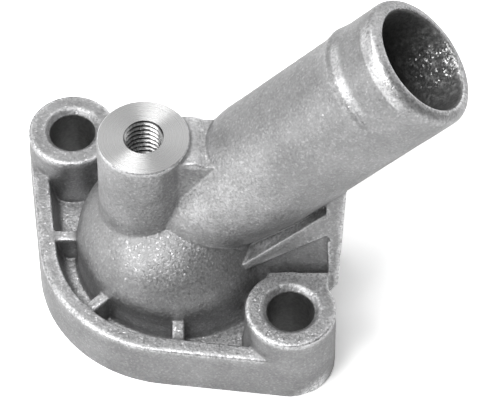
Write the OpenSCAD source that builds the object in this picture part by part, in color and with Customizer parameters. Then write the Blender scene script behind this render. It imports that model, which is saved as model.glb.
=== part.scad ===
// Water outlet casting for an engine: a two-bolt flange with a ribbed well, a dome over the valve,
// a slanted hose spigot, a tapped boss on the crown and a braced web under the spigot.
// Origin at the centre of the gasket face, +Z away from the engine, +X under the spigot.

/* [Flange] */
// Radius of the round part of the flange at the gasket face
flange_r = 27.5; // [26:0.5:32]
// Distance between the two bolt holes
bolt_spacing = 60; // [58:1:70]
// Turn of the bolt line from the spigot's direction
bolt_turn = 135; // [125:1:145]
// Height of the rim round the well
rim_h = 10.9; // [9:0.1:13]
// Thickness of the rim at its top
rim_w = 3.5; // [2.5:0.1:4.5]
// Thickness of the floor of the well
floor_t = 4.8; // [3.5:0.1:6]
// How much the rim leans in on its outside, over its height
rim_draft = 0.3; // [0.1:0.05:0.8]
// Rounding of the rim's outer edge
rim_round = 0.6; // [0.3:0.1:1.2]
// Rounding of the rim's inner edge
rim_soft = 0.3; // [0.2:0.1:0.8]
// Rounding at the foot of the rim, inside the well
well_fillet = 1.5; // [0.8:0.1:2]
// Thickness of the ribs across the well
rib_t = 2.4; // [1.6:0.1:3.5]
// Rounding of the ribs' tops
rib_soft = 0.25; // [0.2:0.05:0.75]

/* [Bolt bosses] */
// Radius of a bolt boss at the gasket face
boss_r = 8.9; // [8:0.1:10]
// Height of a bolt boss
boss_h = 16.8; // [14:0.1:20]
// How much a bolt boss narrows over its height
boss_draft = 0.35; // [0.1:0.05:0.8]
// Rounding of a bolt boss's top edge
boss_round = 0.3; // [0.2:0.1:1]
// Diameter of a bolt hole
bolt_hole_d = 8.9; // [8.4:0.1:9.5]
// Chamfer at the mouth of a bolt hole
bolt_chamfer = 1.05; // [0.5:0.05:1.5]

/* [Dome] */
// Radius of the dome's wall
dome_r = 19.9; // [19:0.1:21]
// Height at which the dome's wall turns into its crown
dome_wall_h = 10.3; // [9:0.1:12]
// Height of the crown above the wall
crown_h = 15.3; // [13:0.1:18]
// Rounding at the foot of the dome, inside the well
dome_fillet = 1.2; // [0.6:0.1:1.5]
// Thickness of the dome
dome_t = 3; // [2:0.1:3.5]
// Radius of the seat that is turned into the gasket face
seat_r = 19.4; // [18.8:0.1:20]
// Depth of the seat
seat_depth = 1.5; // [1:0.1:2]

/* [Spigot] */
// Rise of the spigot above the gasket face, in degrees
spigot_rise = 48; // [42:1:52]
// Height at which the spigot's axis crosses the dome's axis
spigot_z = 15.8; // [14:0.1:17]
// Length of the spigot from the dome's axis to its end
spigot_len = 66; // [62:0.2:75]
// Outside diameter of the spigot
spigot_od = 25.2; // [24.6:0.2:26.4]
// Outside diameter of the spigot at its root
root_od = 21.8; // [20.6:0.2:24]
// Diameter of the water way at the spigot's end
spigot_id = 20; // [18:0.2:21]
// Diameter of the water way at its inner end
way_in_d = 17; // [15:0.2:18]
// Height of the hose bead, which stands out on the spigot's upper side only
bead_h = 0.66; // [0.3:0.02:1]
// Distance of the hose bead from the spigot's end
bead_back = 11.7; // [9:0.1:16]
// Rounding of the spigot's outer lip
lip_round = 1.9; // [1:0.1:2]
// Chamfer at the mouth of the water way
lip_chamfer = 0.5; // [0.2:0.1:0.6]

/* [Tapped boss] */
// Distance of the tapped boss from the dome's axis
tapped_x = 6.3; // [5:0.1:7]
// Height of the tapped boss's machined face
tapped_z = 41.8; // [40:0.1:46]
// Diameter of the machined face
face_d = 16.9; // [16:0.1:19]
// Diameter of the thread
thread_d = 8; // [6:1:8]
// Pitch of the thread
thread_pitch = 1.25; // [1:0.05:1.25]
// Depth of the tapped hole
tapped_depth = 14; // [10:0.5:15]

/* [Web and brace] */
// Thickness of the web between the tapped boss and the spigot
web_t = 11.6; // [9:0.2:13]
// How far the web's top lies under the machined face
web_drop = 0.9; // [0.5:0.1:2]
// Thickness of the web under the spigot
keel_t = 13; // [10:0.2:14]
// Reach of the brace under the spigot, from the dome's axis
brace_reach = 31.4; // [30:0.1:33]
// Thickness of the brace's post at its top
post_t = 4; // [3:0.1:5]
// Thickness of the brace's post at its foot
post_foot_t = 2; // [1.5:0.1:3]
// Height of the foot of the brace's bar above the gasket face
bar_z = 16.4; // [15.5:0.1:18]
// Thickness of the brace's bar at its foot
bar_t = 2; // [1.6:0.1:3]

/* [Hidden] */
$fn = 72;

// Small amount by which cuts run past a face
past = 1;
// Points on a quarter of a small rounding, and on the crown
round_steps = 5;
crown_steps = 20;

bolt_r = bolt_spacing / 2;
// A boss stands this much proud of the flank, so that the two faces cross cleanly
boss_proud = 0.05;
// Angle from a bolt to the flank's normal, where the flank touches the round of the flange
flank_turn = acos((flange_r - boss_r) / bolt_r);
flank_len = sqrt(pow(bolt_r, 2) - pow(flange_r - boss_r, 2));
well_h = rim_h - floor_t;
// How much the rim thickens from its top to the floor of the well
well_draft = 0.8;
// The ribs end this far under the rim's top
rib_drop = 0.2;
// Depth of the flat strip of well along a flank
well_strip = 10;
// The dome's foot rounding starts this far under the floor, so that the two faces cross cleanly
fillet_sink = 0.15;
// Pad on the second bolt boss, squared off where it faces the web
pad_back = 8.4;
pad_left = 4.4;
pad_right = 7.2;
// Rounding of the pad's back edge
pad_round = 0.35;

spigot_r = spigot_od / 2;
bore_r = spigot_id / 2;
way_in_r = way_in_d / 2;
// The water way starts inside the dome, this far behind the dome's axis
bore_start = 4;
// The spigot keeps its root's size up to here, and has its full size from there on
root_s = 10;
full_s = 24;
bead_s = spigot_len - bead_back;
// Length of the steep and of the gentle side of the bead
bead_rise = 2.7;
bead_fade = 4.3;
// The bead's ends lie this far under the spigot's skin
bead_sink = 0.05;
// The hose end is a little fuller than the spigot
tip_gain = 0.08;

// Depth of a thread as a share of its pitch, on the diameter
thread_share = 0.96;
tap_drill_d = thread_d - thread_share * thread_pitch;
// The mouth of the tapped hole is wider than its core by this much
mouth_gain = 0.7;
mouth_d = tap_drill_d + mouth_gain;
// Draft and edge of the tapped boss
tapped_draft = 0.3;
tapped_edge = 0.25;
// Depth of the drill's point as a share of its radius
point_share = 0.6;
drill_point = point_share * tap_drill_d / 2;

web_top = tapped_z - web_drop;
// The web's top falls off this much towards the spigot, over a round shoulder
web_fall = 0.9;
web_round = 3;
// Distance along X at which a line over the spigot reaches a height
function crest_x(z) = (z - spigot_z - spigot_r / cos(spigot_rise)) / tan(spigot_rise);
function axis_z(x) = spigot_z + x * tan(spigot_rise);

// The brace's front face leans from under the spigot to the second bolt boss
brace_top_z = 36;
brace_top_y = -8;
brace_foot_y = -14;
// How much the brace's outer edge leans in down to its foot, and is cut back under it
brace_lean = 0.9;
foot_cut = 3.5;
// Rise of the bar's upper edge in degrees, and how much less its lower edge rises
bar_rise = 38;
bar_spread = 9;
bar_low_rise = bar_rise - bar_spread;
// Rounding of the bar's lower edge
bar_round = 1.8;
// Depth from which the brace's front face is cut
brace_depth = 25;
// Depth of the pocket under the bar, which a plate closes
pocket_depth = 1.4;
// The brace's outline starts inside the dome, this far from the dome's axis
brace_start = 10;
bar_end = brace_reach - post_t / 2;
// Lean of the brace's front face, and its place at a height
brace_slope = (brace_top_y - brace_foot_y) / (brace_top_z - rim_h);
function brace_y(z) = brace_foot_y + brace_slope * (z - rim_h);

bolt_turns = [bolt_turn, bolt_turn + 180];
// Ribs stand at eighths of a turn from the bolt line, except at the bolts and under the spigot
rib_turns = [for (i = [1, 2, 3, 5, 6]) bolt_turn + 45 * i];

// Points on an arc about a centre
function arc(c, r, from, to, n) =
    [for (i = [0 : n]) c + r * [cos(from + (to - from) * i / n), sin(from + (to - from) * i / n)]];

// Section of the flange, out to a reach from the centre
module flange_section(reach) {
    top = reach - rim_draft;
    polygon(concat(
        [[0, 0], [reach, 0]],
        arc([top - rim_round, rim_h - rim_round], rim_round, 0, 90, round_steps),
        [[0, rim_h]]));
}

// Section of the well, from an inner edge out to the rim
module well_section(reach, inner) {
    top = reach - rim_w;
    foot = top - well_draft;
    polygon(concat(
        [[inner, floor_t]],
        arc([foot - well_fillet, floor_t + well_fillet], well_fillet, 270, 360, round_steps),
        arc([top + rim_soft, rim_h - rim_soft], rim_soft, 180, 90, round_steps),
        [[top + rim_soft, rim_h + past], [inner, rim_h + past]]));
}

// One flank's share of a section, run from the round of the flange to a bolt
module flank(turn, side) {
    rotate(turn + side * flank_turn)
        translate([0, side > 0 ? 0 : flank_len, 0])
            rotate([90, 0, 0])
                linear_extrude(flank_len) children();
}

module flange_block() {
    for (turn = bolt_turns) {
        rotate(turn + flank_turn)
            rotate_extrude(angle = 180 - 2 * flank_turn) flange_section(flange_r);
        for (side = [-1, 1])
            flank(turn, side) flange_section(flange_r);
    }
}

module well() {
    for (turn = bolt_turns) {
        rotate(turn + flank_turn)
            rotate_extrude(angle = 180 - 2 * flank_turn) well_section(flange_r, 0);
        for (side = [-1, 1])
            flank(turn, side) well_section(flange_r, flange_r - rim_w - well_strip);
    }
}

// Section of a rib, seen from the dome's axis
module rib_section() {
    top = rim_h - rib_drop;
    polygon(concat(
        [[-rib_t / 2, floor_t / 2], [rib_t / 2, floor_t / 2]],
        arc([rib_t / 2 - rib_soft, top - rib_soft], rib_soft, 0, 90, round_steps),
        arc([rib_soft - rib_t / 2, top - rib_soft], rib_soft, 90, 180, round_steps)));
}

module ribs() {
    inner = dome_r - dome_t / 2;
    for (turn = rib_turns)
        rotate(turn)
            translate([inner, 0, 0])
                rotate([90, 0, 90])
                    linear_extrude(flange_r - rim_w / 2 - inner) rib_section();
}

module bolt_boss() {
    foot = boss_r + boss_proud;
    top = foot - boss_draft;
    rotate_extrude()
        polygon(concat(
            [[0, 0], [foot, 0]],
            arc([top - boss_round, boss_h - boss_round], boss_round, 0, 90, round_steps),
            [[0, boss_h]]));
}

// Square pad that carries the second bolt boss's top towards the brace
module boss_pad() {
    translate([-pad_left, 0, 0])
        rotate([90, 0, 90])
            linear_extrude(pad_left + pad_right)
                polygon(concat(
                    [[0, floor_t / 2], [pad_back, floor_t / 2]],
                    arc([pad_back - pad_round, boss_h - pad_round], pad_round, 0, 90, round_steps),
                    [[0, boss_h]]));
}

module bosses() {
    for (turn = bolt_turns)
        rotate(turn) translate([bolt_r, 0, 0]) bolt_boss();
    translate(bolt_r * [cos(bolt_turn + 180), sin(bolt_turn + 180), 0]) boss_pad();
}

// Half section of the dome, drawn in by an amount
module dome_section(inset) {
    r = dome_r - inset;
    h = crown_h - inset;
    polygon(concat(
        [[0, 0], [r, 0]],
        [for (i = [0 : crown_steps])
            [r * cos(90 * i / crown_steps), dome_wall_h + h * sin(90 * i / crown_steps)]]));
}

module dome() {
    rotate_extrude() dome_section(0);
    rotate_extrude()
        polygon(concat(
            [[0, floor_t / 2], [dome_r + dome_fillet, floor_t / 2]],
            arc([dome_r + dome_fillet, floor_t + dome_fillet - fillet_sink],
                dome_fillet, 270, 180, round_steps),
            [[0, floor_t + dome_fillet - fillet_sink]]));
}

module cavity() {
    translate([0, 0, -past])
        cylinder(h = seat_depth + past, r = seat_r);
    rotate_extrude() dome_section(dome_t);
}

// Puts its children on the spigot's axis, with their Z along it
module on_spigot() {
    translate([0, 0, spigot_z]) rotate([0, 90 - spigot_rise, 0]) children();
}

module spigot() {
    tip_r = spigot_r + tip_gain;
    on_spigot()
        rotate_extrude()
            polygon(concat(
                [[0, 0],
                 [root_od / 2, 0],
                 [root_od / 2, root_s],
                 [spigot_r, full_s],
                 [spigot_r, bead_s],
                 [tip_r, bead_s + bead_fade]],
                arc([tip_r - lip_round, spigot_len - lip_round], lip_round, 0, 90, round_steps),
                [[0, spigot_len]]));
}

// Ring set off centre, so that it comes out of the spigot's upper side and sinks into the lower
module hose_bead() {
    end_r = spigot_r - bead_h - bead_sink;
    on_spigot()
        translate([-bead_h, 0, 0])
            rotate_extrude()
                polygon([
                    [0, bead_s - bead_rise],
                    [end_r, bead_s - bead_rise],
                    [spigot_r, bead_s],
                    [end_r, bead_s + bead_fade],
                    [0, bead_s + bead_fade]]);
}

// The water way narrows inwards, as its core was drawn out of the spigot's end
module water_way() {
    draft = (bore_r - way_in_r) / (spigot_len + bore_start);
    mouth_r = bore_r - lip_chamfer * draft;
    on_spigot() {
        translate([0, 0, -bore_start])
            cylinder(h = spigot_len + bore_start, r1 = way_in_r, r2 = bore_r);
        translate([0, 0, spigot_len - lip_chamfer])
            cylinder(h = lip_chamfer + past, r1 = mouth_r, r2 = mouth_r + lip_chamfer + past);
    }
}

module tapped_boss() {
    top = face_d / 2 + tapped_edge;
    translate([-tapped_x, 0, 0])
        rotate_extrude()
            polygon([
                [0, spigot_z],
                [top + tapped_draft, spigot_z],
                [top, tapped_z - tapped_edge],
                [face_d / 2, tapped_z],
                [0, tapped_z]]);
}

module tapped_hole() {
    sink = (mouth_d - tap_drill_d) / 2;
    translate([-tapped_x, 0, tapped_z]) {
        translate([0, 0, -tapped_depth])
            cylinder(h = tapped_depth + past, d = tap_drill_d);
        translate([0, 0, -tapped_depth - drill_point])
            cylinder(h = drill_point, d1 = 0, d2 = tap_drill_d);
        translate([0, 0, -sink])
            cylinder(h = sink + past, d1 = tap_drill_d, d2 = mouth_d + 2 * past);
    }
}

// Web from the tapped boss over to the spigot, with a rounded shoulder at the spigot
module crown_web() {
    groove = web_top - web_fall;
    turn = acos(1 - web_fall / web_round);
    shoulder_x = crest_x(groove) - web_round * sin(turn);
    translate([0, web_t / 2, 0])
        rotate([90, 0, 0])
            linear_extrude(web_t)
                polygon(concat(
                    [[-tapped_x, spigot_z], [-tapped_x, web_top]],
                    arc([shoulder_x, web_top - web_round], web_round, 90, 90 - turn, round_steps),
                    [[crest_x(groove) + web_round, groove],
                     [crest_x(groove) + spigot_r, axis_z(crest_x(groove))],
                     [0, spigot_z]]));
}

// Outline of the brace and the keel seen along Y
module brace_outline() {
    polygon([
        [brace_start, floor_t / 2],
        [brace_start, axis_z(brace_start)],
        [brace_reach, axis_z(brace_reach)],
        [brace_reach, brace_top_z],
        [brace_reach - brace_lean, boss_h - foot_cut],
        [brace_reach - brace_lean - foot_cut, rim_h - foot_cut / 2],
        [brace_reach - brace_lean - foot_cut, floor_t / 2]]);
}

// Post and slanted bar that stand out from the keel, seen along Y
module brace_bars() {
    span = bar_end - brace_start;
    polygon([
        [brace_reach - brace_lean - post_foot_t, 0],
        [brace_reach - brace_lean - post_foot_t, boss_h],
        [brace_reach - post_t, brace_top_z],
        [brace_reach - post_t, axis_z(brace_reach)],
        [brace_reach + past, axis_z(brace_reach)],
        [brace_reach + past, 0]]);
    polygon([
        [brace_start, bar_z - bar_t],
        [bar_end, bar_z - bar_t + span * tan(bar_low_rise)],
        [bar_end, bar_z + span * tan(bar_rise)],
        [brace_start, bar_z]]);
}

module keel() {
    translate([0, keel_t / 2, 0])
        rotate([90, 0, 0]) linear_extrude(keel_t) brace_outline();
}

// What lies behind the brace's leaning front face, drawn in by an amount
module behind_face(inset) {
    top_z = axis_z(brace_reach);
    rotate([90, 0, 90])
        linear_extrude(brace_reach + past)
            polygon([
                [0, 0],
                [brace_y(0) + inset, 0],
                [brace_top_y + inset, brace_top_z],
                [brace_top_y + inset, top_z],
                [0, top_z]]);
}

// Plate that closes the pocket between the bar and the second bolt boss
module toe() {
    middle = bar_z - bar_t / 2;
    rise = (bar_end - brace_start) * tan(bar_rise - bar_spread / 2);
    intersection() {
        rotate([90, 0, 0])
            linear_extrude(brace_depth) intersection() {
                brace_outline();
                polygon([
                    [brace_start, 0],
                    [bar_end, 0],
                    [bar_end, middle + rise],
                    [brace_start, middle]]);
            }
        behind_face(pocket_depth);
    }
}

// What the rounding takes off along the bar's lower edge
module bar_edge() {
    low_z = bar_z - bar_t;
    end_x = brace_reach - brace_lean - post_foot_t;
    length = (end_x - brace_start) / cos(bar_low_rise);
    translate([brace_start, brace_y(low_z), low_z])
        rotate([0, -bar_low_rise, atan(brace_slope * tan(bar_low_rise))])
            rotate([90, 0, 90])
                linear_extrude(length)
                    polygon(concat(
                        [[-past, bar_round]],
                        arc([bar_round, bar_round], bar_round, 180, 270, round_steps),
                        [[bar_round, -past], [-past, -past]]));
}

// The post and bar, cut off in front by the brace's leaning face
module brace() {
    difference() {
        intersection() {
            rotate([90, 0, 0])
                linear_extrude(brace_depth) intersection() {
                    brace_outline();
                    brace_bars();
                }
            behind_face(0);
        }
        bar_edge();
    }
}

module bolt_holes() {
    for (turn = bolt_turns)
        rotate(turn) translate([bolt_r, 0, 0]) {
            translate([0, 0, -past])
                cylinder(h = boss_h + 2 * past, d = bolt_hole_d);
            translate([0, 0, boss_h - bolt_chamfer])
                cylinder(h = bolt_chamfer + past,
                         d1 = bolt_hole_d,
                         d2 = bolt_hole_d + 2 * (bolt_chamfer + past));
        }
}

module outlet_casting() {
    color("silver")
        difference() {
            union() {
                difference() {
                    flange_block();
                    well();
                }
                ribs();
                bosses();
                dome();
                spigot();
                hose_bead();
                tapped_boss();
                crown_web();
                keel();
                toe();
                brace();
            }
            cavity();
            water_way();
            tapped_hole();
            bolt_holes();
        }
}

outlet_casting();
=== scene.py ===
"""Look of a cast engine water outlet: rounded cast skin, machined faces, tapped hole, studio and camera."""

from __future__ import annotations

import logging
import math
from dataclasses import dataclass, field
from enum import Enum

import bpy
import numpy as np
import openvdb
from mathutils import Matrix, Vector, noise

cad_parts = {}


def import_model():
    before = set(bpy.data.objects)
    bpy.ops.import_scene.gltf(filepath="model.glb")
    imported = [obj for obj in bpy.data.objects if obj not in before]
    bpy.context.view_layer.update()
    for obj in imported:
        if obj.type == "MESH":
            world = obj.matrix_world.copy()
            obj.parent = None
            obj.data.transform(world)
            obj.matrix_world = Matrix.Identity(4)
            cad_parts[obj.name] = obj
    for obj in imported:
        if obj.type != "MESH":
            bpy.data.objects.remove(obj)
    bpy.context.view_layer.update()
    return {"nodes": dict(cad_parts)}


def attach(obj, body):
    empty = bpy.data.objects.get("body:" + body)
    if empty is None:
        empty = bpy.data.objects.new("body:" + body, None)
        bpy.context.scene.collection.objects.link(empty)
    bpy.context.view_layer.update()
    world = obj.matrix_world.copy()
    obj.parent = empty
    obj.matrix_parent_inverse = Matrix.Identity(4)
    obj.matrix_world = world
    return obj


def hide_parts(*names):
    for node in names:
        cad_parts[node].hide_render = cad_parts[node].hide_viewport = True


LOG = logging.getLogger("water_outlet")
MM = 0.001
BODY = "root"
NODE = "outlet_casting"
# Mesh attributes: how much edge wear and painted light lighten the skin, and how much painted shade darkens
# it
WEAR_AND_LIGHT = "wear_and_light"
PAINTED_SHADE = "painted_shade"
# How near a face lies to its plane, and to its radius, in millimetres
FLAT = 0.01
NEAR = 0.1
# Cells that a distance field holds beyond its reach
BAND_CELLS = 3
INF = math.inf

Array = np.ndarray
Material = bpy.types.Material
Piece = bpy.types.Object
Socket = bpy.types.NodeSocket
Place = tuple[float, float, float]
Spot = tuple[float, float]
Span = tuple[float, float]
ANY: Span = (-INF, INF)


class Surface(Enum):
    """Which finish a face of the casting has; the value is its material slot."""

    CAST = 0
    FACED = 1
    BASE = 2
    CORED = 3
    TAPPED = 4
    BORE = 5


class Nodes:
    """Short way to add linked shader or geometry nodes to one tree."""

    def __init__(self, tree: bpy.types.NodeTree) -> None:
        """Keeps the tree that nodes are added to."""
        self.tree = tree

    def add(self, kind: str, links: dict | None = None, **props: object) -> bpy.types.Node:
        """Adds one node.

        Args:
            kind: Blender's name of the node.
            links: what its inputs are set to, as in wire.
            props: properties set on the node before its inputs.

        Returns:
            The new node.
        """
        node = self.tree.nodes.new(kind)
        for key, value in props.items():
            setattr(node, key, value)
        self.wire(node, links or {})
        return node

    def wire(self, node: bpy.types.Node, links: dict) -> None:
        """Sets a node's inputs.

        Args:
            node: node whose inputs are set.
            links: socket name or number to a constant or to another node's output.
        """
        for key, value in links.items():
            socket = node.inputs[key]
            if isinstance(value, Socket):
                self.tree.links.new(value, socket)
            else:
                socket.default_value = value

    def math(self, operation: str, *values: object) -> Socket:
        """Adds a Math node and returns its output."""
        return self.add("ShaderNodeMath", dict(enumerate(values)), operation=operation).outputs[0]

    def times(self, first: object, *others: object) -> Socket:
        """Multiplies values in turn and returns their product."""
        for other in others:
            first = self.math("MULTIPLY", first, other)
        return first

    def gain(self, value: object, by: float) -> Socket:
        """Returns 1 plus a share of a value."""
        return self.math("ADD", self.times(value, by), 1.0)

    def loss(self, value: object, by: float) -> Socket:
        """Returns 1 less a share of a value."""
        return self.math("SUBTRACT", 1.0, self.times(value, by))

    def vector(self, operation: str, *values: object) -> Socket:
        """Adds a Vector Math node and returns its vector output."""
        return self.add("ShaderNodeVectorMath", dict(enumerate(values)), operation=operation).outputs[0]

    def measure(self, operation: str, *values: object) -> Socket:
        """Adds a Vector Math node and returns its single value."""
        node = self.add("ShaderNodeVectorMath", dict(enumerate(values)), operation=operation)
        return node.outputs["Value"]

    def attribute(self, name: str) -> Socket:
        """Adds a value that the mesh carries and returns it."""
        return self.add("ShaderNodeAttribute", attribute_name=name).outputs["Fac"]

    def ramp(self, value: object, low: float, high: float, to_low: float, to_high: float) -> Socket:
        """Adds a smooth Map Range node.

        Args:
            value: value that is mapped.
            low: value that gives to_low.
            high: value that gives to_high.
            to_low: result at and below low.
            to_high: result at and above high.

        Returns:
            The mapped value.
        """
        links = {"Value": value, "From Min": low, "From Max": high, "To Min": to_low, "To Max": to_high}
        return self.add("ShaderNodeMapRange", links, interpolation_type="SMOOTHSTEP").outputs["Result"]

    def vary(self, noise_value: Socket, middle: float, by: float, reach: float = 0.2) -> Socket:
        """Varies a value with a noise.

        Args:
            noise_value: noise about 0.5.
            middle: result at 0.5.
            by: how far the result goes to either side.
            reach: how far from 0.5 the noise gives the full change.

        Returns:
            The varied value.
        """
        return self.ramp(noise_value, 0.5 - reach, 0.5 + reach, middle - by, middle + by)

    def millimetres(self) -> Socket:
        """Adds Object coordinates in millimetres and returns them."""
        here = self.add("ShaderNodeTexCoord").outputs["Object"]
        return self.add("ShaderNodeMapping", {"Vector": here, "Scale": (1 / MM,) * 3}).outputs["Vector"]

    def across(self, place: Socket, centre: Spot) -> Socket:
        """Returns the level vector from a vertical axis to each place."""
        return self.vector("MULTIPLY", self.vector("SUBTRACT", place, (*centre, 0.0)), (1.0, 1.0, 0.0))

    def grain(self, place: object, scale: float, detail: float = 3.0, rough: float = 0.55) -> Socket:
        """Adds a noise.

        Args:
            place: coordinates in millimetres.
            scale: cells to the millimetre.
            detail: octaves of the noise.
            rough: share that each octave keeps.

        Returns:
            The noise's value.
        """
        links = {"Vector": place, "Scale": scale, "Detail": detail, "Roughness": rough}
        return self.add("ShaderNodeTexNoise", links).outputs["Fac"]

    def cells(self, place: Socket, scale: float) -> Socket:
        """Adds cells, so many to the millimetre, and returns the chance colour of each."""
        return self.add("ShaderNodeTexVoronoi", {"Vector": place, "Scale": scale}).outputs["Color"]

    def bump(self, height: object, depth: float, normal: object | None = None) -> Socket:
        """Adds a bump.

        Args:
            height: height from 0 to 1.
            depth: what a height of 1 comes to, in millimetres.
            normal: normal that is bent, or none for the surface's own.

        Returns:
            The bent normal.
        """
        links = {"Height": height, "Distance": depth * MM, "Strength": 1.0}
        if normal is not None:
            links["Normal"] = normal
        return self.add("ShaderNodeBump", links).outputs["Normal"]

    def facets(self, normal: Socket, cells: Socket, lean: Socket) -> Socket:
        """Tilts a normal by chance in each cell.

        Args:
            normal: normal that is tilted.
            cells: chance colour of each cell.
            lean: how far the cells lean.

        Returns:
            The tilted normal.
        """
        chance = self.vector("SUBTRACT", cells, (0.5, 0.5, 0.5))
        aside = self.add("ShaderNodeVectorMath", {0: chance, "Scale": lean}, operation="SCALE").outputs[0]
        return self.vector("NORMALIZE", self.vector("ADD", normal, aside))


class Finish(Nodes):
    """A material: its Principled shader with the nodes that feed it."""

    def __init__(self, name: str) -> None:
        """Makes the material.

        Args:
            name: name of the material.
        """
        self.material = bpy.data.materials.new(name)
        self.material.use_nodes = True
        super().__init__(self.material.node_tree)
        self.shader = self.tree.nodes["Principled BSDF"]

    def grey(self, shade: Socket, cool: float = 1.0) -> Socket:
        """Adds a grey, with the blue stronger by a factor, and returns it."""
        links = {"Red": shade, "Green": shade, "Blue": self.times(shade, cool)}
        return self.add("ShaderNodeCombineColor", links).outputs[0]

    def done(self, links: dict) -> Material:
        """Sets the shader's inputs and returns the finished material."""
        self.wire(self.shader, links)
        return self.material


@dataclass(frozen=True)
class PolishAndHighlightBand:
    """Band of polish and painted highlight: where it comes in and goes out along the axis, and on which
    side.
    """

    rise: Span
    fall: Span
    turn: float
    side: Span


@dataclass(frozen=True)
class Spigot:
    """Place of the hose spigot and of its polished, painted-highlight bands, in millimetres and degrees."""

    base_z: float = 15.8
    rise: float = 48.0
    outer_r: float = 12.6
    bore_r: float = 10.0
    bore_from: float = 12.0
    bore_slack: float = 0.3
    # On the side where the light falls, the lip and bead are smoother and painted lighter as a highlight
    lip: PolishAndHighlightBand = PolishAndHighlightBand((62.4, 62.9), (64.9, 65.4), 32.0, (0.66, 0.9))
    bead: PolishAndHighlightBand = PolishAndHighlightBand((55.2, 55.8), (56.665, 57.74), 26.0, (0.78, 0.92))

    @property
    def axis(self) -> Vector:
        """Direction of the spigot."""
        rise = math.radians(self.rise)
        return Vector((math.cos(rise), 0.0, math.sin(rise)))

    def side(self, degrees: float) -> Vector:
        """Tells a direction across the spigot.

        Args:
            degrees: turn from the spigot's upper side towards its near side.

        Returns:
            A vector of length 1.
        """
        turn = math.radians(degrees)
        above = Vector((-self.axis.z, 0.0, self.axis.x))
        return above * math.cos(turn) + Vector((0.0, -1.0, 0.0)) * math.sin(turn)

    def polish_and_painted_light(self, nodes: Nodes, place: Socket) -> Socket:
        """Adds the mask of the lip and bead bands: polish and a painted highlight.

        Args:
            nodes: nodes of the material.
            place: coordinates in millimetres.

        Returns:
            Value from 0 to 1.
        """
        here = nodes.vector("SUBTRACT", place, (0.0, 0.0, self.base_z))
        along = nodes.measure("DOT_PRODUCT", here, self.axis)
        bands = []
        for band in (self.lip, self.bead):
            side = nodes.measure("DOT_PRODUCT", here, self.side(band.turn))
            side = nodes.math("DIVIDE", side, self.outer_r)
            rise, fall = nodes.ramp(along, *band.rise, 0.0, 1.0), nodes.ramp(along, *band.fall, 1.0, 0.0)
            bands.append(nodes.times(rise, fall, nodes.ramp(side, *band.side, 0.0, 1.0)))
        return nodes.math("MAXIMUM", *bands)

    def bore_faces(self, centre: Array, normal: Array) -> Array:
        """Tells which faces are the wall of the water way.

        Args:
            centre: middle of each face in millimetres.
            normal: normal of each face.

        Returns:
            True for each face of the wall.
        """
        axis = np.array(self.axis)
        here = centre - (0.0, 0.0, self.base_z)
        along = here @ axis
        outwards = here - along[:, None] * axis
        near = np.linalg.norm(outwards, axis=1) < self.bore_r + self.bore_slack
        return near & (along > self.bore_from) & (np.einsum("ij,ij->i", outwards, normal) < 0)


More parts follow.
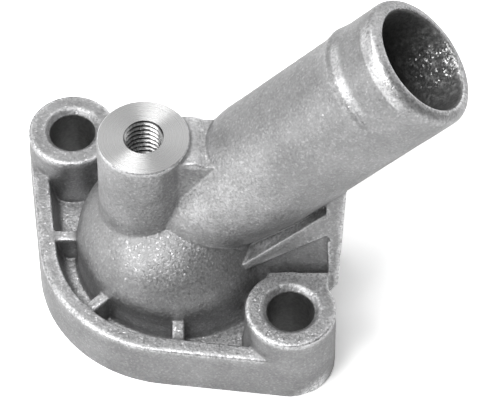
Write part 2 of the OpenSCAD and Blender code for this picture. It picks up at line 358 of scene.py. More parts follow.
@dataclass(frozen=True)
class CastSkin:
    """Blasted skin of the casting: matt grey metal, glinting grain, worn edges, painted light and shade."""

    colour: float = 0.42
    cool: float = 1.01
    metal: float = 0.88
    rough: Span = (0.45, 0.56)
    cloud_cells: float = 0.14
    cloud_depth: float = 0.13
    grain_cells: float = 2.0
    grain_depth: float = 0.14
    grain_height: float = 0.085
    dent_cells: float = 0.8
    dent_height: float = 0.04
    glint_cells: float = 3.2
    glint_mix: Place = (17.3, 31.7, 23.1)
    glint_share: float = 0.3
    glint_gain: float = 0.2
    glint_polish: float = 0.13
    tilt: float = 0.16
    glint_tilt: float = 0.2
    tilt_worn_off: float = 0.6
    # Edge wear with painted light lightens the colour, and painted shade darkens it
    edge_least: float = 0.35
    edge_wear_and_light_gain: float = 0.9
    edge_polish: float = 0.06
    painted_shade_loss: float = 0.28
    # Lip and bead bands: smoother skin and a painted highlight in the colour
    highlight_least: float = 0.6
    polish_rough: float = 0.37
    highlight_gain: float = 0.9
    spigot: Spigot = field(default_factory=Spigot)

    def material(self) -> Material:
        """Builds the skin's material.

        Returns:
            The material.
        """
        nodes = Finish("cast_skin")
        place = nodes.millimetres()
        cloud = nodes.grain(place, self.cloud_cells, 4.0, 0.6)
        grain = nodes.grain(place, self.grain_cells, 2.0, 0.6)
        # Edge wear and painted light, read from the mesh
        edge_wear_and_light = nodes.times(nodes.attribute(WEAR_AND_LIGHT), nodes.ramp(grain, 0.32, 0.55, self.edge_least, 1.0))
        # Painted highlight bands on the lip and bead, also smoother
        polish_and_highlight = nodes.ramp(grain, 0.3, 0.5, self.highlight_least, 1.0)
        polish_and_highlight = nodes.times(self.spigot.polish_and_painted_light(nodes, place), polish_and_highlight)
        cells = nodes.cells(place, self.glint_cells)
        chance = nodes.math("FRACT", nodes.measure("DOT_PRODUCT", cells, self.glint_mix))
        glint = nodes.ramp(chance, 1.0 - self.glint_share, 1.0, 0.0, 1.0)
        shade = nodes.times(
            nodes.vary(cloud, 1.0, self.cloud_depth),
            nodes.vary(grain, 1.0, self.grain_depth, 0.25),
            # Painted light, edge wear and the painted highlight lighten; painted shade darkens
            nodes.gain(edge_wear_and_light, self.edge_wear_and_light_gain),
            nodes.loss(nodes.attribute(PAINTED_SHADE), self.painted_shade_loss),
            nodes.gain(glint, self.glint_gain),
            nodes.gain(polish_and_highlight, self.highlight_gain),
            self.colour)
        rough = nodes.ramp(grain, 0.3, 0.7, *self.rough)
        rough = nodes.math("SUBTRACT", rough, nodes.times(glint, self.glint_polish))
        rough = nodes.math("SUBTRACT", rough, nodes.times(edge_wear_and_light, self.edge_polish))
        rough = nodes.times(rough, nodes.math("SUBTRACT", 1.0, polish_and_highlight))
        rough = nodes.math("ADD", rough, nodes.times(polish_and_highlight, self.polish_rough))
        normal = nodes.bump(nodes.grain(place, self.dent_cells, 2.0), self.dent_height)
        normal = nodes.bump(grain, self.grain_height, normal)
        lean = nodes.math("ADD", nodes.times(glint, self.glint_tilt), self.tilt)
        lean = nodes.times(lean, nodes.loss(nodes.math("MAXIMUM", polish_and_highlight, edge_wear_and_light), self.tilt_worn_off))
        return nodes.done({"Base Color": nodes.grey(shade, self.cool), "Roughness": rough,
                           "Normal": nodes.facets(normal, cells, lean), "Metallic": self.metal})


@dataclass(frozen=True)
class TurnedFace:
    """Bright face cut in rings about a vertical axis."""

    name: str
    centre: Spot
    colour: float = 0.59
    colour_spread: float = 0.0295
    rough: float = 0.26
    rough_spread: float = 0.05
    groove_cells: float = 4.0
    groove_depth: float = 0.004
    pull: float = 0.9
    pull_turn: float = 0.25

    def material(self) -> Material:
        """Builds the turned face's material.

        Returns:
            The material.
        """
        nodes = Finish(self.name)
        across = nodes.across(nodes.millimetres(), self.centre)
        reach = nodes.add("ShaderNodeCombineXYZ", {"X": nodes.measure("LENGTH", across)}).outputs[0]
        groove = nodes.grain(reach, self.groove_cells, 4.0, 0.75)
        about = nodes.vector("CROSS_PRODUCT", (0.0, 0.0, 1.0), across)
        shade = nodes.vary(groove, self.colour, self.colour_spread, 0.25)
        return nodes.done({
            "Base Color": nodes.grey(shade),
            "Roughness": nodes.vary(groove, self.rough, self.rough_spread),
            "Normal": nodes.bump(groove, self.groove_depth),
            "Tangent": nodes.vector("NORMALIZE", about),
            "Metallic": 1.0,
            "Anisotropic": self.pull,
            "Anisotropic Rotation": self.pull_turn,
        })


@dataclass(frozen=True)
class HoleWall:
    """Wall of a cored or tapped hole, with stains; a thread's crests are painted light, its roots painted
    shade.
    """

    name: str
    colour: float
    rough: float
    metal: float = 1.0
    stain: float = 0.2
    pits: float = 0.03
    rough_spread: float = 0.08
    stain_cells: float = 1.6
    thread_at: Spot | None = None
    thread_r: Span = (3.45, 3.82)
    thread_light_and_shade: Span = (1.35, 0.05)

    def material(self) -> Material:
        """Builds the hole wall's material.

        Returns:
            The material.
        """
        nodes = Finish(self.name)
        place = nodes.millimetres()
        grain = nodes.grain(place, self.stain_cells, 4.0, 0.6)
        shade = nodes.vary(grain, self.colour, self.colour * self.stain)
        # Painted light on the thread's crests and painted shade in its roots
        if self.thread_at:
            reach = nodes.measure("LENGTH", nodes.across(place, self.thread_at))
            shade = nodes.times(shade, nodes.ramp(reach, *self.thread_r, *self.thread_light_and_shade))
        return nodes.done({
            "Base Color": nodes.grey(shade),
            "Roughness": nodes.vary(grain, self.rough, self.rough_spread),
            "Normal": nodes.bump(grain, self.pits),
            "Metallic": self.metal,
        })


@dataclass(frozen=True)
class BoreWall:
    """Rough wall of the water way: dark as painted shade, with a mottled painted pool of light."""

    # A dark colour that paints the deep bore's shade
    colour: float = 0.2
    metal: float = 0.6
    rough: float = 0.5
    grain_cells: float = 1.4
    grain_depth: float = 0.25
    grain_height: float = 0.1
    # A painted pool of light on the wall near the mouth, mottled with patches
    light_pool_at: Place = (46.8, 5.2, 56.4)
    light_pool_r: Span = (2.0, 10.0)
    light_pool_gain: float = 1.0
    light_pool_rough: float = 0.26
    patch_cells: float = 0.75
    patch_gain: float = 3.5
    glint_cells: float = 3.0
    tilt: float = 0.9

    def material(self) -> Material:
        """Builds the bore wall's material.

        Returns:
            The material.
        """
        nodes = Finish("bore_wall")
        place = nodes.millimetres()
        grain = nodes.grain(place, self.grain_cells, 3.0, 0.6)
        # Painted pool of light, mottled with brighter patches
        light_pool = nodes.ramp(nodes.measure("DISTANCE", place, self.light_pool_at), *self.light_pool_r, 1.0, 0.0)
        patch = nodes.ramp(nodes.grain(place, self.patch_cells, 4.0, 0.65), 0.46, 0.68, 0.0, 1.0)
        tone = nodes.vary(grain, 1.0, self.grain_depth)
        tone = nodes.math("ADD", tone, nodes.times(patch, light_pool, self.patch_gain))
        tone = nodes.math("ADD", tone, nodes.times(light_pool, self.light_pool_gain))
        cells, lean = nodes.cells(place, self.glint_cells), nodes.times(light_pool, self.tilt)
        return nodes.done({
            "Base Color": nodes.grey(nodes.times(tone, self.colour)),
            "Roughness": nodes.ramp(light_pool, 0.0, 1.0, self.rough, self.light_pool_rough),
            "Normal": nodes.facets(nodes.bump(grain, self.grain_height), cells, lean),
            "Metallic": self.metal,
        })


def fade(values: Array, none: float, full: float) -> Array:
    """Maps values evenly to 0 at none and 1 at full, and no further."""
    return np.clip((values - none) / (full - none), 0.0, 1.0)


def away(points: Array, centre: Spot) -> Array:
    """Measures how far points lie from a vertical axis."""
    return np.hypot(points[:, 0] - centre[0], points[:, 1] - centre[1])


def mesh_arrays(mesh: bpy.types.Mesh) -> tuple[Array, Array]:
    """Reads a mesh as points in millimetres and triangles.

    Args:
        mesh: mesh in metres.

    Returns:
        Points and triangles.
    """
    points = np.empty(len(mesh.vertices) * 3, np.float32)
    mesh.vertices.foreach_get("co", points)
    mesh.calc_loop_triangles()
    corners = np.empty(len(mesh.loop_triangles) * 3, np.int32)
    mesh.loop_triangles.foreach_get("vertices", corners)
    return points.reshape(-1, 3) / MM, corners.reshape(-1, 3)


def read_vectors(items: bpy.types.bpy_prop_collection, name: str) -> Array:
    """Reads a vector of each vertex or face.

    Args:
        items: vertices or faces of a mesh.
        name: name of the vector, such as normal.

    Returns:
        One row for each item.
    """
    values = np.empty(len(items) * 3)
    items.foreach_get(name, values)
    return values.reshape(-1, 3)


def distance_field(cell: float, reach: float, points: Array, triangles: Array | None = None,
                   quads: Array | None = None) -> openvdb.FloatGrid:
    """Makes a distance field from a closed skin, in millimetres.

    Args:
        cell: size of the field's cells.
        reach: distance that the field has to hold.
        points: points of the skin.
        triangles: three-cornered faces, or none.
        quads: four-cornered faces, or none.

    Returns:
        The field.
    """
    scale = openvdb.createLinearTransform(voxelSize=cell)
    return openvdb.FloatGrid.createLevelSetFromPolygons(
        points, triangles=triangles, quads=quads, transform=scale, halfWidth=reach / cell + BAND_CELLS)


def put(name: str, data: bpy.types.ID) -> Piece:
    """Puts data into the scene.

    Args:
        name: name of the object.
        data: mesh, camera or lamp that the object shows.

    Returns:
        The new object, linked to the scene.
    """
    thing = bpy.data.objects.new(name, data)
    bpy.context.scene.collection.objects.link(thing)
    return thing


def new_piece(name: str, points: Array, faces: list) -> Piece:
    """Makes an object from points in millimetres.

    Args:
        name: name of the object.
        points: points in millimetres.
        faces: lists of point numbers.

    Returns:
        The new object, linked to the scene.
    """
    mesh = bpy.data.meshes.new(name)
    mesh.from_pydata((np.asarray(points, float) * MM).tolist(), [], faces)
    mesh.validate()
    return put(name, mesh)


def revolve(name: str, profile: list[Spot], centre: Spot, steps: int = 192) -> Piece:
    """Turns a closed profile about a vertical axis.

    Args:
        name: name of the object.
        profile: radius and height of each corner, from the axis out and back to it.
        centre: place of the axis.
        steps: faces round the axis.

    Returns:
        A closed object with its faces outwards.
    """
    points: list[Place] = []
    rings: list[list[int]] = []
    for r, z in profile:
        if r == 0:
            rings.append([len(points)] * steps)
            points.append((centre[0], centre[1], z))
            continue
        rings.append(list(range(len(points), len(points) + steps)))
        turns = (2 * math.pi * i / steps for i in range(steps))
        points += [(centre[0] + r * math.cos(a), centre[1] + r * math.sin(a), z) for a in turns]
    faces = []
    for low, high in zip(rings, rings[1:]):
        for i in range(steps):
            j = (i + 1) % steps
            corners = dict.fromkeys((low[i], low[j], high[j], high[i]))
            if len(corners) > 2:
                faces.append(list(corners))
    return new_piece(name, np.array(points), faces)


def cylinder(name: str, radius: float, low: float, high: float, centre: Spot, steps: int = 192) -> Piece:
    """Makes a closed upright cylinder between two heights, with its faces outwards."""
    return revolve(name, [(0, low), (radius, low), (radius, high), (0, high)], centre, steps)


def cut(piece: Piece, tool: Piece, operation: str = "DIFFERENCE") -> None:
    """Cuts or joins a closed tool with a closed piece, and removes the tool.

    Args:
        piece: object that is changed.
        tool: object that cuts or is joined.
        operation: name of the Boolean operation.
    """
    step = piece.modifiers.new("cut", "BOOLEAN")
    step.object = tool
    step.operation = operation
    step.solver = "MANIFOLD"
    settle(piece)
    bpy.data.objects.remove(tool)


def settle(piece: Piece) -> None:
    """Turns a piece's modifiers into its plain mesh.

    Args:
        piece: object whose modifiers are applied and removed.
    """
    graph = bpy.context.evaluated_depsgraph_get()
    mesh = bpy.data.meshes.new_from_object(piece.evaluated_get(graph), depsgraph=graph)
    piece.modifiers.clear()
    old = piece.data
    piece.data = mesh
    bpy.data.meshes.remove(old)


@dataclass(frozen=True)
class Stroke:
    """Straight stretch of the skin with painted light or shade, or with fettling, in millimetres."""

    start: Place
    end: Place
    reach: float
    strength: float = 1.0

    def near(self, points: Array) -> Array:
        """Tells how near each point is to the stretch.

        Args:
            points: points in millimetres.

        Returns:
            The strength on the stretch, falling to 0 at its reach.
        """
        start = np.array(self.start)
        way = np.array(self.end) - start
        share = np.clip((points - start) @ way / (way @ way), 0.0, 1.0)
        gap = np.linalg.norm(points - start - share[:, None] * way, axis=1)
        return self.strength * np.clip(1.0 - gap / self.reach, 0.0, 1.0)


@dataclass(frozen=True)
class Skin:
    """Points of the skin in millimetres, with the normal and the share of metal round each."""

    points: Array
    normals: Array
    share: Array


@dataclass(frozen=True)
class Zone:
    """Part of the skin, bounded in place, in distance from a vertical axis and in the skin's normal."""

    strength: float
    x: Span = ANY
    y: Span = ANY
    z: Span = ANY
    normal_x: Span = ANY
    normal_y: Span = ANY
    normal_z: Span = ANY
    centre: Spot = (0.0, 0.0)
    radius: Span = ANY

    def holds(self, skin: Skin) -> Array:
        """Tells which points lie in the zone.

        Args:
            skin: points and normals.

        Returns:
            True for each point inside.
        """
        values = (*skin.points.T, *skin.normals.T, away(skin.points, self.centre))
        spans = (self.x, self.y, self.z, self.normal_x, self.normal_y, self.normal_z, self.radius)
        inside = [(value > low) & (value < high) for value, (low, high) in zip(values, spans)]
        return np.all(inside, axis=0)

    def mark(self, skin: Skin) -> Array:
        """Gives the zone's strength at the points inside, and 0 elsewhere."""
        return self.strength * self.holds(skin)


@dataclass(frozen=True)
class SkinLightAndWear:
    """Wear and painted light and shade on the skin, from its form and at listed places."""

    cell: float = 0.35
    margin: int = 6
    blurs: int = 3
    # Edges are lighter, as wear and as a painted highlight; concave creases get painted shade
    # In these spans the first value has no effect and the second the full one
    edge_share: Span = (0.47, 0.37)
    crease_shade_share: Span = (0.54, 0.68)
    foot_z: Span = (0.3, 1.8)
    polish_and_painted_light: tuple[Stroke, ...] = (
        # Fettled patch at the near boss's foot
        Stroke((24.6, -29.3, 0.4), (27.3, -27.6, 1.4), 2.2, 2.0),
        # Painted highlight on the pad's back edge
        Stroke((17.2, -13.2, 16.75), (27.8, -13.1, 16.75), 1.5, 1.6),
        # Lighter short stretch at the pad's right end
        Stroke((29.9, -13.0, 15.4), (30.2, -13.4, 13.2), 0.9),
        # Painted light on the spigot's root
        Stroke((4.0, -8.6, 32.0), (13.0, -9.0, 40.0), 9.0, 0.45),
        # Painted light on the pad
        Stroke((17.0, -15.5, 16.8), (29.0, -15.5, 16.8), 5.0, 0.55),
        # Painted light on the web's top
        Stroke((4.2, -4.0, 40.2), (4.2, 4.0, 40.2), 5.0, 0.4),
    )
    # Strokes that take wear and painted light off the bar's edges and paint shade there
    shade_strokes: tuple[Stroke, ...] = (
        Stroke((13.0, -12.3, 18.0), (27.3, -8.6, 29.9), 1.2),
        Stroke((14.2, -11.0, 19.2), (12.8, -10.6, 23.8), 2.4),
    )
    shade_stroke_share: float = 0.9
    # Painted light on the well floors and on the bar's sloped top
    lit_well_floor: Zone = Zone(0.4, z=(2.5, 6.0), normal_z=(0.9, INF))
    lit_bar_slope: Zone = Zone(0.9, x=(12.5, INF), y=(-INF, -6.0), z=(17.0, 31.0))
    bar_slope: Place = (-0.61, 0.0, 0.79)
    bar_slope_least: float = 0.97
    upright_slope: Span = (0.5, 0.2)
    # Painted shade on low upright walls
    wall_shade: float = 0.42
    wall_z: Span = (17.0, 15.0)
    # Painted shade on the spigot's underside near the shaded stroke
    under_spigot: Zone = Zone(0.65, normal_y=(-INF, -0.6), normal_z=(-INF, 0.05))
    shaded: Stroke = Stroke((12.8, -10.3, 23.2), (26.5, -9.8, 33.2), 3.5, 2.2)
    # Painted shade on the tapped boss's right side
    boss_side: Zone = Zone(1.2, y=(-INF, 6.0), z=(22.0, 41.6), centre=(-6.3, 0.0), radius=(8.25, 9.25))
    boss_turn: Span = (0.2, 0.7)
    # Painted shade on the web's front and beside its foot
    web_front: Zone = Zone(1.0, x=(-2.0, 8.0), y=(-7.0, -5.0), z=(28.0, 42.0), normal_y=(-INF, -0.9))
    beside_web: Zone = Zone(1.2, z=(38.0, INF), normal_x=(-0.3, INF))
    web_foot: Stroke = Stroke((6.0, -5.5, 40.0), (6.2, 4.0, 42.0), 1.8)
    # Painted highlight on the spigot's root, where painted shade is cleared
    lit_spigot_root: Zone = Zone(0.6, x=(0.0, 11.0), y=(-INF, -5.0), z=(28.0, INF), normal_x=(-INF, -0.35),
                             normal_y=(-INF, -0.3))
    root_x: Span = (11.0, 3.0)
    # Painted shade on the dome's lower sides and on the far boss's top
    dome: Zone = Zone(0.45, z=(5.0, 26.0), normal_z=(0.0, INF), radius=(-INF, 20.0))
    dome_slope: Span = (0.75, 0.45)
    far_boss: Zone = Zone(0.45, z=(15.0, INF), normal_z=(0.9, INF),
                          centre=(-21.2, 21.2), radius=(-INF, 9.0))

    def write(self, mesh: bpy.types.Mesh) -> None:
        """Writes how much edge wear and painted light lighten each point, and how much painted shade darkens
        it.

        Args:
            mesh: mesh of the casting.
        """
        points, triangles = mesh_arrays(mesh)
        normals = read_vectors(mesh.vertices, "normal")
        skin = Skin(points, normals, self._metal_round(points, triangles))
        for name, values in ((WEAR_AND_LIGHT, self._wear_and_light(skin)), (PAINTED_SHADE, self._painted_shade(skin))):
            mesh.attributes.new(name, "FLOAT", "POINT").data.foreach_set("value", values.astype(np.float32))

    def _wear_and_light(self, skin: Skin) -> Array:
        """Tells how much edge wear, a fettled patch and painted light lighten each point.

        Args:
            skin: points, normals and metal round each point.

        Returns:
            0 where the skin isn't lighter; 1 on a worn edge.
        """
        wear_and_light = fade(skin.share, *self.edge_share) * fade(skin.points[:, 2], *self.foot_z)
        slope = skin.normals @ np.array(self.bar_slope) > self.bar_slope_least
        marks = [stroke.near(skin.points) for stroke in self.polish_and_painted_light]
        marks += [self.lit_well_floor.mark(skin), slope * self.lit_bar_slope.mark(skin)]
        wear_and_light = np.maximum.reduce([wear_and_light, *marks])
        for stroke in self.shade_strokes:
            wear_and_light *= 1.0 - self.shade_stroke_share * np.sqrt(stroke.near(skin.points))
        root = self.lit_spigot_root.mark(skin) * fade(skin.points[:, 0], *self.root_x)
        return np.maximum(wear_and_light, root)

    def _painted_shade(self, skin: Skin) -> Array:
        """Tells how much painted shade darkens each point.

        Args:
            skin: points, normals and metal round each point.

        Returns:
            0 where there is no painted shade; 1 in a deep hollow.
        """
        upright = fade(np.abs(skin.normals[:, 2]), *self.upright_slope)
        marks = [self.shade_stroke_share * np.sqrt(stroke.near(skin.points)) for stroke in self.shade_strokes]
        marks += [
            fade(skin.share, *self.crease_shade_share),
            self.wall_shade * upright * fade(skin.points[:, 2], *self.wall_z),
            self.under_spigot.mark(skin) * np.clip(self.shaded.near(skin.points), 0.0, 1.0),
            self.boss_side.mark(skin) * upright * fade(skin.normals[:, 0], *self.boss_turn),
            self.web_front.mark(skin),
            self.beside_web.mark(skin) * self.web_foot.near(skin.points),
            self.dome.mark(skin) * fade(skin.normals[:, 2], *self.dome_slope),
            self.far_boss.mark(skin),
        ]
        return np.where(self.lit_spigot_root.holds(skin), 0.0, np.maximum.reduce(marks))

    def _metal_round(self, points: Array, triangles: Array) -> Array:
        """Measures the share of metal round each point.

        Args:
            points: points in millimetres.
            triangles: triangles of the closed skin.

        Returns:
            About 0.5 on a flat, less on an edge and more in a hollow.
        """
        grid = distance_field(self.cell, 0.0, points, triangles)
        low = np.floor(points.min(axis=0) / self.cell).astype(int) - self.margin
        high = np.ceil(points.max(axis=0) / self.cell).astype(int) + self.margin + 1
        metal = np.empty(high - low, np.float32)
        grid.copyToArray(metal, ijk=tuple(int(v) for v in low))
        metal = np.clip(0.5 - metal / self.cell, 0.0, 1.0)
        for axis in (0, 1, 2) * self.blurs:
            metal = (metal + np.roll(metal, 1, axis) + np.roll(metal, -1, axis)) / 3
        where = points / self.cell - low
        base = np.floor(where).astype(int)
        part = where - base
        share = np.zeros(len(points))
        for step in np.ndindex(2, 2, 2):
            weight = np.prod(np.where(step, part, 1.0 - part), axis=1)
            share += weight * metal[tuple((base + step).T)]
        return share


@dataclass
class TappedThread:
    """Solids that cut the tapped hole, in millimetres: drill, bar with a threaded wall and countersink."""

    centre: Spot = (-6.3, 0.0)
    face_z: float = 41.8
    crest_r: float = 3.35
    root_r: float = 3.98
    mouth_r: float = 3.75
    pitch: float = 1.25
    flank: Span = (0.16, 0.86)
    depth: float = 14.0
    over: float = 1.0
    point_share: float = 0.6
    drill_gap: float = 0.05
    drill_over: float = 0.1
    drill_top: float = 2.0
    steps_round: int = 96
    steps_turn: int = 16

    @property
    def low_z(self) -> float:
        """Height that the hole doesn't reach."""
        return self.face_z - self.depth - self.crest_r

    def tree(self) -> bpy.types.NodeTree:
        """Builds the node tree that screws a thread into a cylinder's wall.

        Returns:
            Tree with the thread's sizes as inputs.
        """
        tree = bpy.data.node_groups.new("tapped_thread", "GeometryNodeTree")
        tree.interface.new_socket("Geometry", in_out="OUTPUT", socket_type="NodeSocketGeometry")
        kinds = {"Crest Radius": "Float", "Root Radius": "Float", "Pitch": "Float", "Depth": "Float",
                 "Steps Round": "Int", "Steps Along": "Int", "Material": "Material"}
        for name, kind in kinds.items():
            tree.interface.new_socket(name, in_out="INPUT", socket_type=f"NodeSocket{kind}")
        nodes = Nodes(tree)
        given = nodes.add("NodeGroupInput").outputs
        links = {"Vertices": given["Steps Round"], "Side Segments": given["Steps Along"],
                 "Radius": given["Root Radius"], "Depth": given["Depth"]}
        bar = nodes.add("GeometryNodeMeshCylinder", links).outputs["Mesh"]
        here = nodes.add("GeometryNodeInputPosition").outputs[0]
        x, y, z = nodes.add("ShaderNodeSeparateXYZ", {0: here}).outputs
        turn = nodes.math("DIVIDE", nodes.math("ARCTAN2", y, x), 2 * math.pi)
        phase = nodes.math("FRACT", nodes.math("SUBTRACT", nodes.math("DIVIDE", z, given["Pitch"]), turn))
        wave = nodes.math("ABSOLUTE", nodes.math("SUBTRACT", nodes.times(phase, 2.0), 1.0))
        low, high = self.flank
        links = {"Value": wave, "From Min": low, "From Max": high, "To Min": 0.0, "To Max": 1.0}
        flank = nodes.add("ShaderNodeMapRange", links).outputs["Result"]
        ratio = nodes.math("DIVIDE", given["Crest Radius"], given["Root Radius"])
        share = nodes.math("ADD", ratio, nodes.times(flank, nodes.math("SUBTRACT", 1.0, ratio)))
        links = {"X": nodes.times(x, share), "Y": nodes.times(y, share), "Z": z}
        moved = nodes.add("ShaderNodeCombineXYZ", links).outputs[0]
        solid = nodes.add("GeometryNodeSetPosition", {"Geometry": bar, "Position": moved}).outputs[0]
        solid = nodes.add("GeometryNodeRealizeInstances", {"Geometry": solid}).outputs[0]
        links = {"Geometry": solid, "Material": given["Material"]}
        nodes.add("NodeGroupOutput", {"Geometry": nodes.add("GeometryNodeSetMaterial", links).outputs[0]})
        return tree

    def tool(self, material: Material) -> Piece:
        """Makes the threaded solid in its place.

        Args:
            material: finish of the thread.

        Returns:
            A closed object that reaches a little above the machined face.
        """
        tree = self.tree()
        piece = put("thread_tool", bpy.data.meshes.new("thread_tool"))
        step = piece.modifiers.new("thread", "NODES")
        step.node_group = tree
        length = self.depth + self.over
        values = {"Crest Radius": self.crest_r * MM, "Root Radius": self.root_r * MM,
                  "Pitch": self.pitch * MM, "Depth": length * MM, "Steps Round": self.steps_round,
                  "Steps Along": round(length / self.pitch * self.steps_turn), "Material": material}
        for socket in tree.interface.items_tree:
            if socket.in_out == "INPUT":
                step[socket.identifier] = values[socket.name]
        settle(piece)
        middle = self.face_z + self.over - length / 2
        piece.data.transform(Matrix.Translation(Vector((*self.centre, middle)) * MM))
        return piece

    def drill(self) -> Piece:
        """Makes the drilled core under the thread.

        Returns:
            A closed object with a pointed lower end.
        """
        end, top = self.face_z - self.depth, self.face_z - self.drill_top
        r, tip = self.crest_r - self.drill_gap, end - self.point_share * self.crest_r
        profile = [(0, tip), (r, end - self.drill_over), (r, top), (0, top)]
        return revolve("drill", profile, self.centre, self.steps_round)

    def sink(self) -> Piece:
        """Makes the countersink at the mouth of the hole.

        Returns:
            A closed cone with its point down.
        """
        r, top = self.mouth_r, self.face_z + self.over
        profile = [(0, self.face_z - r), (r + self.over, top), (0, top)]
        return revolve("sink", profile, self.centre, self.steps_round)


@dataclass
class OutletCasting:
    """The casting, in millimetres: its skin is rounded as a casting is, then its machined faces are cut."""

    weld_gap: float = 1e-6
    voxel: float = 0.2
    thin_out: float = 0.03
    hollow_round: float = 0.15
    edge_round: float = 0.12
    wave: float = 0.035
    wave_size: float = 3.5
    wave_octaves: int = 2
    spare: float = 2.0
    plug_wall: float = 0.8
    plug_steps: int = 48
    gasket_r: float = 90.0
    gasket_steps: int = 64
    face_r: float = 8.45
    face_edge: float = 0.25
    seat_r: float = 19.4
    seat_depth: float = 1.5
    seat_under: float = 1.0
    bolt_reach: float = 30.0
    bolt_turns: tuple[float, float] = (135.0, 315.0)
    hole_r: float = 5.0
    wall_slope: float = 0.5
    sharp_bend: float = 28.0
    thread: TappedThread = field(default_factory=TappedThread)
    spigot: Spigot = field(default_factory=Spigot)
    skin_light_and_wear: SkinLightAndWear = field(default_factory=SkinLightAndWear)

    def build(self, node: Piece) -> Piece:
        """Builds the dressed casting.

        Args:
            node: the CAD node that the casting stands for.

        Returns:
            The finished piece.
        """
        piece = self.blank(node)
        self.soften(piece)
        materials = self.materials()
        self.machine(piece, materials[Surface.TAPPED])
        self.dress(piece, materials)
        return piece

    def blank(self, node: Piece) -> Piece:
        """Copies the CAD node with spare metal on its machined faces and no tapped hole.

        Args:
            node: the CAD node.

        Returns:
            A closed copy.
        """
        piece = put("water_outlet", node.data.copy())
        weld = piece.modifiers.new("weld", "WELD")
        weld.merge_threshold = self.weld_gap
        settle(piece)
        points, _ = mesh_arrays(piece.data)
        thread = self.thread
        on_face = away(points, thread.centre) < self.face_r + NEAR
        points[on_face & (points[:, 2] > thread.face_z - NEAR / 2), 2] += self.spare
        points[points[:, 2] < FLAT, 2] -= self.spare
        piece.data.vertices.foreach_set("co", (points * MM).ravel())
        piece.data.update()
        plug_r, top = thread.root_r + self.plug_wall, thread.face_z + self.spare
        cut(piece, cylinder("plug", plug_r, thread.low_z, top, thread.centre, self.plug_steps), "UNION")
        return piece

    def soften(self, piece: Piece) -> None:
        """Rounds hollows and edges as a casting has them, and gives the skin its slight waves.

        Args:
            piece: closed piece whose mesh is replaced.
        """
        points, triangles = mesh_arrays(piece.data)
        grid = distance_field(self.voxel, self.hollow_round, points, triangles)
        reach = self.hollow_round + self.edge_round
        for offset in (self.hollow_round, -reach):
            points, _, quads = grid.convertToPolygons(isovalue=offset, adaptivity=0.0)
            grid = distance_field(self.voxel, reach, points, quads=quads)
        points, triangles, quads = grid.convertToPolygons(isovalue=self.edge_round, adaptivity=self.thin_out)
        points = np.array(points, float)
        faces = [list(map(int, face[::-1])) for group in (triangles, quads) for face in group]
        mesh = bpy.data.meshes.new("cast_skin")
        mesh.from_pydata((points * MM).tolist(), [], faces)
        mesh.update()
        normals = read_vectors(mesh.vertices, "normal")
        lift = [noise.fractal(Vector(p) / self.wave_size, 1.0, 2.0, self.wave_octaves) for p in points]
        points += normals * (self.wave * np.array(lift))[:, None]
        mesh.vertices.foreach_set("co", (points * MM).astype(np.float32).ravel())
        mesh.update()
        old, piece.data = piece.data, mesh
        bpy.data.meshes.remove(old)

    def machine(self, piece: Piece, tapped: Material) -> None:
        """Cuts the gasket face, the seat, the tapped boss's face and the tapped hole.

        Args:
            piece: the rounded casting.
            tapped: finish of the thread.
        """
        middle, clear = (0.0, 0.0), 2 * self.spare
        cut(piece, cylinder("gasket_cut", self.gasket_r, -clear, 0, middle, self.gasket_steps))
        cut(piece, cylinder("seat_cut", self.seat_r, -self.seat_under, self.seat_depth, middle))
        z, out = self.thread.face_z, self.face_r + self.face_edge
        profile = [(0, z), (self.face_r, z), (out, z - self.face_edge), (out, z + clear), (0, z + clear)]
        cut(piece, revolve("face_cut", profile, self.thread.centre))
        cut(piece, self.thread.drill())
        cut(piece, self.thread.tool(tapped))
        cut(piece, self.thread.sink())

    def materials(self) -> dict[Surface, Material]:
        """Makes the finishes of the casting.

        Returns:
            One material for each surface.
        """
        axis = self.thread.centre
        looks = {
            Surface.CAST: CastSkin(spigot=self.spigot),
            Surface.FACED: TurnedFace("turned_face", axis),
            Surface.BASE: TurnedFace("gasket_face", (0.0, 0.0)),
            Surface.CORED: HoleWall("cored_wall", 0.34, 0.5),
            Surface.TAPPED: HoleWall("tapped_wall", 0.56, 0.3, metal=0.9, stain=0.06, pits=0.004,
                                     thread_at=axis),
            Surface.BORE: BoreWall(),
        }
        return {surface: look.material() for surface, look in looks.items()}

    def dress(self, piece: Piece, materials: dict[Surface, Material]) -> None:
        """Gives each face its finish and its shading.

        Args:
            piece: the machined casting.
            materials: finish for each surface.
        """
        mesh = piece.data
        mesh.materials.clear()
        for surface in Surface:
            mesh.materials.append(materials[surface])
        normal = read_vectors(mesh.polygons, "normal")
        finish = self._finish(read_vectors(mesh.polygons, "center") / MM, normal)
        mesh.polygons.foreach_set("material_index", finish)
        mesh.polygons.foreach_set("use_smooth", np.ones(len(finish), bool))
        self._sharpen(mesh, finish, normal)
        # Edge wear, painted light and painted shade for the skin's colour
        self.skin_light_and_wear.write(mesh)
        mesh.update()

    def _finish(self, centre: Array, normal: Array) -> Array:
        """Tells the finish of each face.

        Args:
            centre: middle of each face in millimetres.
            normal: normal of each face.

        Returns:
            Number of the finish of each face.
        """
        finish = np.full(len(centre), Surface.CAST.value, np.int32)
        z = centre[:, 2]
        wall = np.abs(normal[:, 2]) < self.wall_slope
        for turn in (math.radians(degrees) for degrees in self.bolt_turns):
            bolt = (self.bolt_reach * math.cos(turn), self.bolt_reach * math.sin(turn))
            finish[(away(centre, bolt) < self.hole_r) & wall] = Surface.CORED.value
        finish[self.spigot.bore_faces(centre, normal)] = Surface.BORE.value
        reach = away(centre, self.thread.centre)
        finish[(reach < self.thread.root_r + NEAR) & (z > self.thread.low_z)] = Surface.TAPPED.value
        level = np.abs(z - self.thread.face_z) < FLAT
        finish[(reach < self.face_r + 2 * FLAT) & level] = Surface.FACED.value
        seat = (away(centre, (0.0, 0.0)) < self.seat_r + NEAR / 2) & (z < self.seat_depth + FLAT)
        finish[seat | (np.abs(z) < FLAT)] = Surface.BASE.value
        return finish

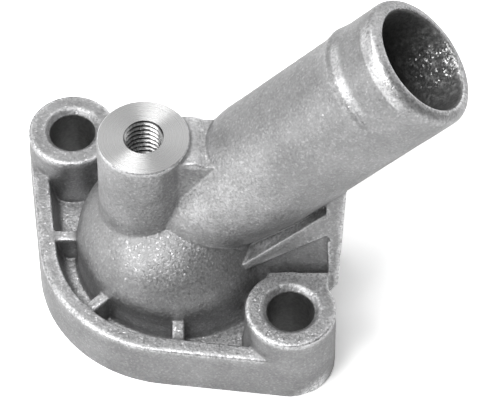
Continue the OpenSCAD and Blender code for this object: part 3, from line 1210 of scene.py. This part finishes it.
    def _sharpen(self, mesh: bpy.types.Mesh, finish: Array, normal: Array) -> None:
        """Marks the edges of machined faces as sharp.

        Args:
            mesh: mesh of the casting.
            finish: finish of each face.
            normal: normal of each face.
        """
        edges = np.empty(len(mesh.loops), np.int32)
        mesh.loops.foreach_get("edge_index", edges)
        sizes = np.empty(len(mesh.polygons), np.int32)
        mesh.polygons.foreach_get("loop_total", sizes)
        face = np.repeat(np.arange(len(sizes)), sizes)
        order = np.argsort(edges, kind="stable")
        edges, face = edges[order], face[order]
        pair = np.flatnonzero(edges[1:] == edges[:-1])
        one, other = face[pair], face[pair + 1]
        bent = np.einsum("ij,ij->i", normal[one], normal[other]) < math.cos(math.radians(self.sharp_bend))
        machined = (finish[one] != Surface.CAST.value) | (finish[other] != Surface.CAST.value)
        sharp = np.zeros(len(mesh.edges), bool)
        sharp[edges[pair]] = bent & machined
        mesh.attributes.new("sharp_edge", "BOOLEAN", "EDGE").data.foreach_set("value", sharp)


@dataclass(frozen=True)
class Panel:
    """Square soft lamp, placed by its compass turn and its rise in degrees."""

    name: str
    turn: float
    rise: float
    power: float
    size: float


@dataclass
class Studio:
    """Camera, lamps, sky and floor; the camera's numbers are degrees, pixels and millimetres."""

    rise: float = 53.62
    yaw: float = -1.11
    roll: float = 0.987
    focus_px: float = 2680.44
    width_px: float = 500.0
    distance: float = 524.302
    look_at: Place = (13.771, 7.625, 12.0)
    sensor: float = 36.0
    clip: Span = (0.01, 20.0)
    sky: float = 0.10
    floor_side: float = 3000.0
    floor_cells: float = 0.02
    floor_spread: float = 0.005
    floor_pale: float = 0.8
    floor_mirrored: float = 1.18
    floor_shown: float = 1.95
    lit_at: Place = (12.0, 0.0, 20.0)
    away: float = 0.9
    panels: tuple[Panel, ...] = (
        Panel("key", 216.0, 47.0, 3.5, 0.5),
        Panel("front_top", 245.0, 68.0, 1.1, 0.35),
        Panel("top", 132.0, 74.0, 2.0, 0.30),
        Panel("left", 200.0, 12.0, 1.5, 0.7),
        Panel("left_back", 148.0, 14.0, 0.8, 0.7),
        Panel("back", 85.0, 40.0, 1.9, 0.9),
        Panel("right_back", 42.0, 30.0, 1.5, 0.8),
    )

    def camera(self) -> None:
        """Sets the camera at the place it was fitted to."""
        rise, yaw, roll = (math.radians(v) for v in (self.rise, self.yaw, self.roll))
        ahead = Vector((-math.sin(yaw) * math.cos(rise), math.cos(yaw) * math.cos(rise), -math.sin(rise)))
        level = Vector((math.cos(yaw), math.sin(yaw), 0.0))
        above = level.cross(ahead)
        right = level * math.cos(roll) + above * math.sin(roll)
        up = above * math.cos(roll) - level * math.sin(roll)
        data = bpy.data.cameras.new("camera")
        data.sensor_fit = "HORIZONTAL"
        data.sensor_width = self.sensor
        data.lens = self.focus_px * self.sensor / self.width_px
        data.clip_start, data.clip_end = self.clip
        camera = put("camera", data)
        move = Matrix.Translation((Vector(self.look_at) - ahead * self.distance) * MM)
        camera.matrix_world = move @ Matrix((right, up, -ahead)).transposed().to_4x4()
        bpy.context.scene.camera = camera

    def lamp(self, panel: Panel) -> None:
        """Adds a soft lamp that faces the object.

        Args:
            panel: the lamp's place, power and size.
        """
        turn, rise = math.radians(panel.turn), math.radians(panel.rise)
        aim = Vector((math.cos(rise) * math.cos(turn), math.cos(rise) * math.sin(turn), math.sin(rise)))
        data = bpy.data.lights.new(panel.name, "AREA")
        data.energy, data.size = panel.power, panel.size
        lamp = put(panel.name, data)
        lamp.location = Vector(self.lit_at) * MM + aim * self.away
        lamp.rotation_mode = "QUATERNION"
        lamp.rotation_quaternion = (-aim).to_track_quat("-Z", "Y")

    def world(self) -> None:
        """Sets an even sky."""
        world = bpy.data.worlds.new("studio")
        bpy.context.scene.world = world
        world.use_nodes = True
        back = world.node_tree.nodes["Background"]
        back.inputs["Color"].default_value = (1.0, 1.0, 1.0, 1.0)
        back.inputs["Strength"].default_value = self.sky

    def floor(self) -> None:
        """Lays a pale floor that shows white, in the metal too, and keeps the shadow."""
        nodes = Finish("studio_floor")
        grain = nodes.grain(nodes.millimetres(), self.floor_cells, 2.0)
        path = nodes.add("ShaderNodeLightPath").outputs
        mirrored = nodes.math("MAXIMUM", path["Is Glossy Ray"], path["Is Transmission Ray"])
        tone = nodes.ramp(mirrored, 0.0, 1.0, self.floor_pale, self.floor_mirrored)
        tone = nodes.math("MAXIMUM", tone, nodes.times(path["Is Camera Ray"], self.floor_shown))
        tone = nodes.times(tone, nodes.vary(grain, 1.0, self.floor_spread, 0.5))
        matt = nodes.add("ShaderNodeBsdfDiffuse", {"Color": nodes.grey(tone)}).outputs[0]
        nodes.tree.links.new(matt, nodes.tree.nodes["Material Output"].inputs["Surface"])
        nodes.tree.nodes.remove(nodes.shader)
        side = self.floor_side
        corners = [(-side, -side, 0), (side, -side, 0), (side, side, 0), (-side, side, 0)]
        floor = new_piece("studio_floor", np.array(corners), [[0, 1, 2, 3]])
        floor.data.materials.append(nodes.material)

    def build(self) -> None:
        """Sets up the whole studio."""
        bpy.context.scene.view_settings.view_transform = "Standard"
        self.camera()
        self.world()
        self.floor()
        for panel in self.panels:
            self.lamp(panel)


def corners(box: tuple[Vector, Vector]) -> list[list[float]]:
    """Gives a box's two corners as plain lists."""
    return [list(box[0]), list(box[1])]


def main() -> None:
    """Builds the look of the water outlet on its CAD frame."""
    logging.basicConfig(level=logging.INFO, format="%(name)s: %(message)s")
    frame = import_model()
    casting = OutletCasting().build(frame["nodes"][NODE])
    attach(casting, BODY)
    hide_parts(NODE)
    LOG.info("%s: %d faces", casting.name, len(casting.data.polygons))
    Studio().build()


if __name__ == "__main__":
    main()
